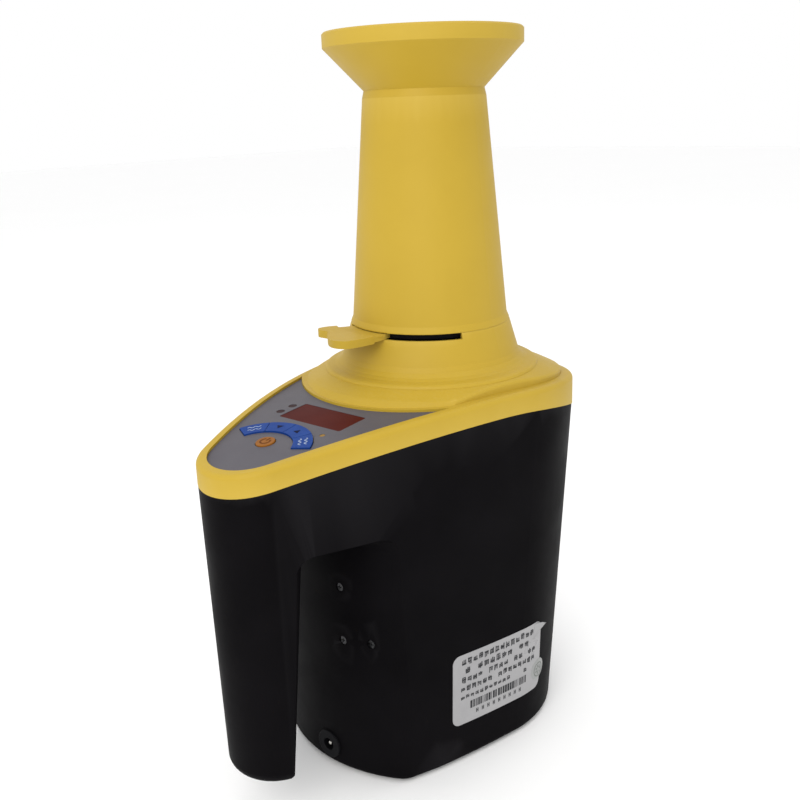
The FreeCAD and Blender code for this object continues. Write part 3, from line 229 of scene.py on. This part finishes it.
# ------------------------------------------------------------------ mesh helpers
def piece(name, verts, faces, mat, body, smooth=False):
    mesh = bpy.data.meshes.new(name)
    mesh.from_pydata([tuple(v) for v in verts], [], faces)
    mesh.update()
    obj = bpy.data.objects.new(name, mesh)
    bpy.context.scene.collection.objects.link(obj)
    mesh.materials.append(mat)
    if smooth:
        mesh.shade_smooth()
    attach(obj, body)
    return obj


def tree_of(name):
    obj = NODES[name]
    mesh = obj.data
    verts = [obj.matrix_world @ v.co for v in mesh.vertices]
    return BVHTree.FromPolygons(verts, [tuple(p.vertices) for p in mesh.polygons])


class Plane:
    """Flat drawing plane: origin, two directions and the normal."""

    def __init__(self, origin, across, up):
        self.origin = Vector(origin)
        self.across = Vector(across).normalized()
        self.up = Vector(up).normalized()
        self.out = self.across.cross(self.up)

    def at(self, u, v, lift=0.0):
        return self.origin + (self.across * u + self.up * v + self.out * lift) * MM


class Ink:
    """Collects flat shapes, each a fan of points, into one thin printed mesh."""

    def __init__(self, point):
        self.point = point
        self.verts = []
        self.faces = []

    def polygon(self, outline):
        start = len(self.verts)
        self.verts += [self.point(u, v) for u, v in outline]
        self.faces.append(tuple(range(start, start + len(outline))))

    def bar(self, u0, v0, u1, v1):
        self.polygon([(u0, v0), (u1, v0), (u1, v1), (u0, v1)])

    def stroke(self, path, width):
        """Ribbon of even width along a list of points."""
        left, right = [], []
        for i, (u, v) in enumerate(path):
            a = Vector(path[max(i - 1, 0)])
            b = Vector(path[min(i + 1, len(path) - 1)])
            d = (b - a).normalized()
            left.append((u - d.y * width / 2, v + d.x * width / 2))
            right.append((u + d.y * width / 2, v - d.x * width / 2))
        for i in range(len(path) - 1):
            self.polygon([right[i], right[i + 1], left[i + 1], left[i]])

    def arc(self, u, v, r, start, stop, width, steps=20):
        path = []
        for i in range(steps + 1):
            a = math.radians(start + (stop - start) * i / steps)
            path.append((u + r * math.cos(a), v + r * math.sin(a)))
        self.stroke(path, width)

    def finish(self, name, mat, body, slot):
        return piece(name, self.verts, self.faces, mat, body)


# ------------------------------------------------------------------ key marks
# The panel follows the cover's arched top, a circle of ARCH_R about the crosswise axis, highest at ARCH_Y.
ARCH_R = 585.0
ARCH_Y = 12.0
ARCH_TOP = 179.2
KEY_TOP_DEPTH = 0.55
KEY_RING_Y = -83.2
KEY_MID_R = 20.6
KEY_START = 26
KEY_STEP = 32
POWER_X = -0.7
POWER_Y = -76.2
INK_LIFT = 0.05
POWER_INK_LIFT = 0.06

KEY_TOP_R = ARCH_R - KEY_TOP_DEPTH
KEY_LEAN = math.asin((ARCH_Y - KEY_RING_Y) / ARCH_R)
KEY_PLANE = Plane(
    (0,
     (ARCH_Y - KEY_TOP_R * math.sin(KEY_LEAN)) * MM,
     (ARCH_TOP - ARCH_R + KEY_TOP_R * math.cos(KEY_LEAN)) * MM),
    (1, 0, 0),
    (0, math.cos(KEY_LEAN), math.sin(KEY_LEAN)))


def key_spot(index):
    """Middle of an arc key on the key plane, and the angle at which it lies."""
    a = math.radians(KEY_START + KEY_STEP * (index + 0.5))
    return KEY_MID_R * math.cos(a), KEY_MID_R * math.sin(a), a


def on_key(u, v):
    return KEY_PLANE.at(u, v, INK_LIFT)


def turned_ink(index):
    """Ink whose own axes follow the key's place on the arc."""
    cu, cv, a = key_spot(index)
    turn = a - math.pi / 2
    c, s = math.cos(turn), math.sin(turn)
    return Ink(lambda u, v: on_key(cu + u * c - v * s, cv + u * s + v * c))


def key_marks():
    """A plain wavy mark on each end key and an arrow head on each middle key."""
    for index, name in ((0, "key_1"), (3, "key_4")):
        marks = turned_ink(index)
        for row in (-1.3, 1.3):
            wave = [(-3.0 + 0.4 * k, row + 0.55 * math.sin(k * 0.9)) for k in range(16)]
            marks.stroke(wave, 0.55)
        marks.finish("marks_" + name, WHITE_INK, name, "key_blue")
    for index, name, way in ((1, "key_2", 1), (2, "key_3", -1)):
        marks = turned_ink(index)
        marks.polygon([(-1.7, -1.1 * way), (1.7, -1.1 * way), (0.0, 1.7 * way)][::way])
        marks.finish("marks_" + name, DARK_INK, name, "key_blue")


def power_mark():
    """The usual on-off sign: an open ring with a bar in its gap."""
    v_mid = POWER_Y - KEY_RING_Y
    power = Ink(lambda u, v: KEY_PLANE.at(POWER_X + u, v_mid + v, POWER_INK_LIFT))
    power.arc(0, 0, 2.2, 125, 415, 0.8)
    power.bar(-0.4, 0.5, 0.4, 3.1)
    power.finish("marks_power_key", BROWN_INK, "power_key", "key_orange")


key_marks()
power_mark()


# ------------------------------------------------------------------ rating label
LABEL_BVH = tree_of("label_sticker")
CASE_BVH = tree_of("base_shell")
lo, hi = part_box("label_sticker")
LABEL_Y = (lo.y + hi.y) / 2 / MM
LABEL_Z = (lo.z + hi.z) / 2 / MM
TILT = math.radians(0.5)


SIDE_START_X = 0.2
ON_LABEL = (LABEL_BVH,)
ON_LABEL_OR_CASE = (LABEL_BVH, CASE_BVH)


def on_side(u, v, lift=INK_LIFT, trees=ON_LABEL):
    """Point of the side wall under label coordinates: u to the rear, v up, both in mm."""
    y = LABEL_Y + u * math.cos(TILT) + v * math.sin(TILT)
    z = LABEL_Z - u * math.sin(TILT) + v * math.cos(TILT)
    best = None
    for tree in trees:
        hit = tree.ray_cast(Vector((SIDE_START_X, y * MM, z * MM)), Vector((-1, 0, 0)))[0]
        if hit is not None and (best is None or hit.x > best.x):
            best = hit
    return best + Vector((lift * MM, 0, 0))


# Rows of the label: height of the middle, height of the signs, start, stop, pitch, share left empty.
LINES = [
    (14.6, 3.7, -23.5, 22.0, 3.3, 0.0),
    (9.8, 3.4, -21.5, 19.0, 3.7, 0.08),
    (4.9, 3.2, -23.5, 22.5, 3.2, 0.18),
    (0.2, 3.2, -24.0, 23.0, 3.2, 0.14),
    (-4.4, 2.3, -24.0, 18.0, 2.8, 0.2),
]
SIGN_WIDTH = 0.74
BAR_ROW = dict(start=-18.5, stop=16.5, low=-11.6, top=-7.5,
               widths=(0.35, 0.55, 0.9, 1.2), gaps=(0.35, 0.5, 0.8))
FIGURE_ROW = dict(start=-15.0, stop=13.5, low=-15.2, top=-13.0, pitch=3.4)


def sign(text, rng, u, v, w, height):
    """A meaningless sign: three upright strokes crossed by two level ones."""
    for k in range(3):
        x = u + w * (k + 0.15) / 3
        top = v + height * rng.uniform(0.2, 0.5)
        low = v - height * rng.uniform(0.2, 0.5)
        text.bar(x, low, x + w * rng.uniform(0.18, 0.28), top)
    mid = v + height * rng.uniform(-0.35, 0.35)
    text.bar(u, mid, u + w, mid + height * 0.17)
    mid = v + height * rng.uniform(-0.45, 0.45)
    text.bar(u + w * 0.1, mid, u + w * 0.9, mid + height * 0.15)


def label_print():
    """Rows of meaningless signs, a row of plain bars and a row of small ladders."""
    rng = random.Random(7)
    text = Ink(on_side)
    for v, height, start, stop, pitch, skip in LINES:
        u = start
        while u < stop:
            if rng.random() > skip:
                sign(text, rng, u, v, pitch * SIGN_WIDTH, height)
            u += pitch
    u = BAR_ROW["start"]
    while u < BAR_ROW["stop"]:
        w = rng.choice(BAR_ROW["widths"])
        text.bar(u, BAR_ROW["low"], u + w, BAR_ROW["top"])
        u += w + rng.choice(BAR_ROW["gaps"])
    u = FIGURE_ROW["start"]
    low, top = FIGURE_ROW["low"], FIGURE_ROW["top"]
    while u < FIGURE_ROW["stop"]:
        text.bar(u, low, u + 0.45, top)
        text.bar(u + 0.85, low, u + 1.3, top)
        text.bar(u, -14.3, u + 1.3, -13.9)
        u += FIGURE_ROW["pitch"]
    text.finish("label_print", BLACK_INK, "case", "label_film")


label_print()

CORNER = dict(start=22.5, reach=7.5, top=18.1, depth=8.0, sag=1.2, lift=3.0, sheet=0.18)
CORNER_STEPS = 10
CORNER_LIMIT_U = 28.0
CORNER_LIMIT_V = 17.9


def corner_point(s, t, side):
    """Point of the lifted corner: s along it from the flat label, t down its edge, side is its thickness."""
    u = CORNER["start"] + CORNER["reach"] * s
    v = CORNER["top"] - CORNER["depth"] * t * (1 - s) ** 0.75 - CORNER["sag"] * s * s
    gap = 0.02 + side * (0.3 + 0.7 * s)
    base = on_side(min(u, CORNER_LIMIT_U), min(v, CORNER_LIMIT_V), gap, ON_LABEL_OR_CASE)
    lift = CORNER["lift"] * s ** 2.2 * (1 - 0.35 * t)
    y_more = (u - min(u, CORNER_LIMIT_U)) * 0.75
    return base + Vector((lift, y_more, 0.25 * s)) * MM


def lifted_corner():
    """Corner of the label that has come off the wall and curls outwards."""
    n = CORNER_STEPS
    steps = [k / n for k in range(n + 1)]
    verts = [corner_point(s, t, side) for side in (0.0, CORNER["sheet"]) for s in steps for t in steps]
    faces = []
    count = (n + 1) ** 2
    for i in range(n):
        for j in range(n):
            a = i * (n + 1) + j
            faces.append((a, a + 1, a + n + 2, a + n + 1))
            b = a + count
            faces.append((b, b + n + 1, b + n + 2, b + 1))
    border = [j for j in range(n + 1)] + [i * (n + 1) + n for i in range(1, n + 1)]
    border += [n * (n + 1) + j for j in range(n - 1, -1, -1)] + [i * (n + 1) for i in range(n - 1, 0, -1)]
    for a, b in zip(border, border[1:] + border[:1]):
        faces.append((a, a + count, b + count, b))
    piece("label_lifted_corner", verts, faces, PAPER, "case", True)


lifted_corner()

SEAL_U = 27.0
SEAL_V = -8.8
SEAL_R = 5.7
SEAL_LIFT = 0.32
SEAL_INK_LIFT = 0.4
SEAL_RINGS = 6
SEAL_SPOKES = 48
SEAL_RING_R = 3.7
SEAL_RAYS = 7


def seal():
    """Small round seal stuck over the label's rear edge, with an inner printed ring and short rays."""
    verts, faces = [], []
    for k in range(SEAL_RINGS + 1):
        r = SEAL_R * k / SEAL_RINGS
        edge = SEAL_LIFT if k < SEAL_RINGS else INK_LIFT
        for i in range(SEAL_SPOKES):
            a = 2 * math.pi * i / SEAL_SPOKES
            verts.append(on_side(SEAL_U + r * math.cos(a), SEAL_V + r * math.sin(a), edge, ON_LABEL_OR_CASE))
    for k in range(SEAL_RINGS):
        here = k * SEAL_SPOKES
        outer = here + SEAL_SPOKES
        for i in range(SEAL_SPOKES):
            j = (i + 1) % SEAL_SPOKES
            faces.append((here + i, outer + i, outer + j, here + j))
    piece("label_seal", verts, faces, SEAL, "case", True)
    ink = Ink(lambda u, v: on_side(u, v, SEAL_INK_LIFT, ON_LABEL_OR_CASE))
    ink.arc(SEAL_U, SEAL_V, SEAL_RING_R, 0, 360, 0.45, 40)
    for k in range(SEAL_RAYS):
        a = 2 * math.pi * k / SEAL_RAYS
        ends = [(SEAL_U + r * math.cos(a), SEAL_V + r * math.sin(a)) for r in (1.0, 2.6)]
        ink.stroke(ends, 0.6)
    ink.finish("label_seal_print", SEAL_INK, "case", "label_film")


seal()


# ------------------------------------------------------------------ stage, light, camera
FLOOR_HALF = 6.0
FLOOR_DROP = 0.0002


def floor():
    mat, tree, shader = new_material("floor")
    coords = node(tree, "ShaderNodeTexCoord")
    soft = noise(tree, coords, 3.0, 4.0)
    colour = mixed(tree, soft, "Fac", (0.975, 0.975, 0.975), (0.99, 0.99, 0.99))
    tree.links.new(colour.outputs[2], shader.inputs["Base Color"])
    shader.inputs["Roughness"].default_value = 0.6
    shader.inputs["Specular IOR Level"].default_value = 0.2
    mesh = bpy.data.meshes.new("floor")
    bm = bmesh.new()
    bmesh.ops.create_grid(bm, x_segments=4, y_segments=4, size=FLOOR_HALF)
    bm.to_mesh(mesh)
    bm.free()
    mesh.materials.append(mat)
    obj = bpy.data.objects.new("floor", mesh)
    bpy.context.scene.collection.objects.link(obj)
    obj.location.z = -FLOOR_DROP


floor()

world = bpy.data.worlds.new("studio")
bpy.context.scene.world = world
world.use_nodes = True
background = world.node_tree.nodes["Background"]
background.inputs["Color"].default_value = (1, 1, 1, 1)
background.inputs["Strength"].default_value = 1.0
LIGHT_TARGET = Vector((0, 0, 0.17))


def area(name, place, size, watts, colour=(1, 1, 1)):
    """Soft square light aimed at the middle of the meter."""
    data = bpy.data.lights.new(name, "AREA")
    data.energy = watts
    data.size = size
    data.color = colour
    obj = bpy.data.objects.new(name, data)
    bpy.context.scene.collection.objects.link(obj)
    obj.location = place
    obj.rotation_mode = "QUATERNION"
    obj.rotation_quaternion = (LIGHT_TARGET - Vector(place)).to_track_quat("-Z", "Y")


area("key", (0.55, -1.12, 1.0), 0.9, 9.4, (1.0, 0.985, 0.96))
area("fill", (-0.55, -1.15, 0.60), 1.0, 0.8, (0.97, 0.985, 1.0))
area("top", (0.0, 0.1, 1.7), 1.2, 3.5)


CAMERA_AZIMUTH = math.radians(42.1405)
CAMERA_HEIGHT = math.radians(16.3407)
CAMERA_ROLL = math.radians(-2.0664)
CAMERA_PLACE = (0.3071, -0.3311, 0.3038)
CAMERA_LENS = 44.628
CAMERA_SENSOR = 36.0


def camera():
    """Camera in front of the meter and to its right, looking slightly down, with a small roll."""
    a, e, r = CAMERA_AZIMUTH, CAMERA_HEIGHT, CAMERA_ROLL
    back = Vector((math.sin(a) * math.cos(e), -math.cos(a) * math.cos(e), math.sin(e)))
    right = (-back).cross(Vector((0, 0, 1))).normalized()
    up = right.cross(-back)
    x = right * math.cos(r) + up * math.sin(r)
    y = up * math.cos(r) - right * math.sin(r)
    data = bpy.data.cameras.new("camera")
    data.lens = CAMERA_LENS
    data.sensor_width = CAMERA_SENSOR
    data.clip_start = 0.01
    obj = bpy.data.objects.new("camera", data)
    bpy.context.scene.collection.objects.link(obj)
    m = Matrix((x, y, back)).transposed().to_4x4()
    m.translation = Vector(CAMERA_PLACE)
    obj.matrix_world = m
    bpy.context.scene.camera = obj


camera()
bpy.context.scene.view_settings.view_transform = "Standard"
bpy.context.scene.view_settings.look = "None"
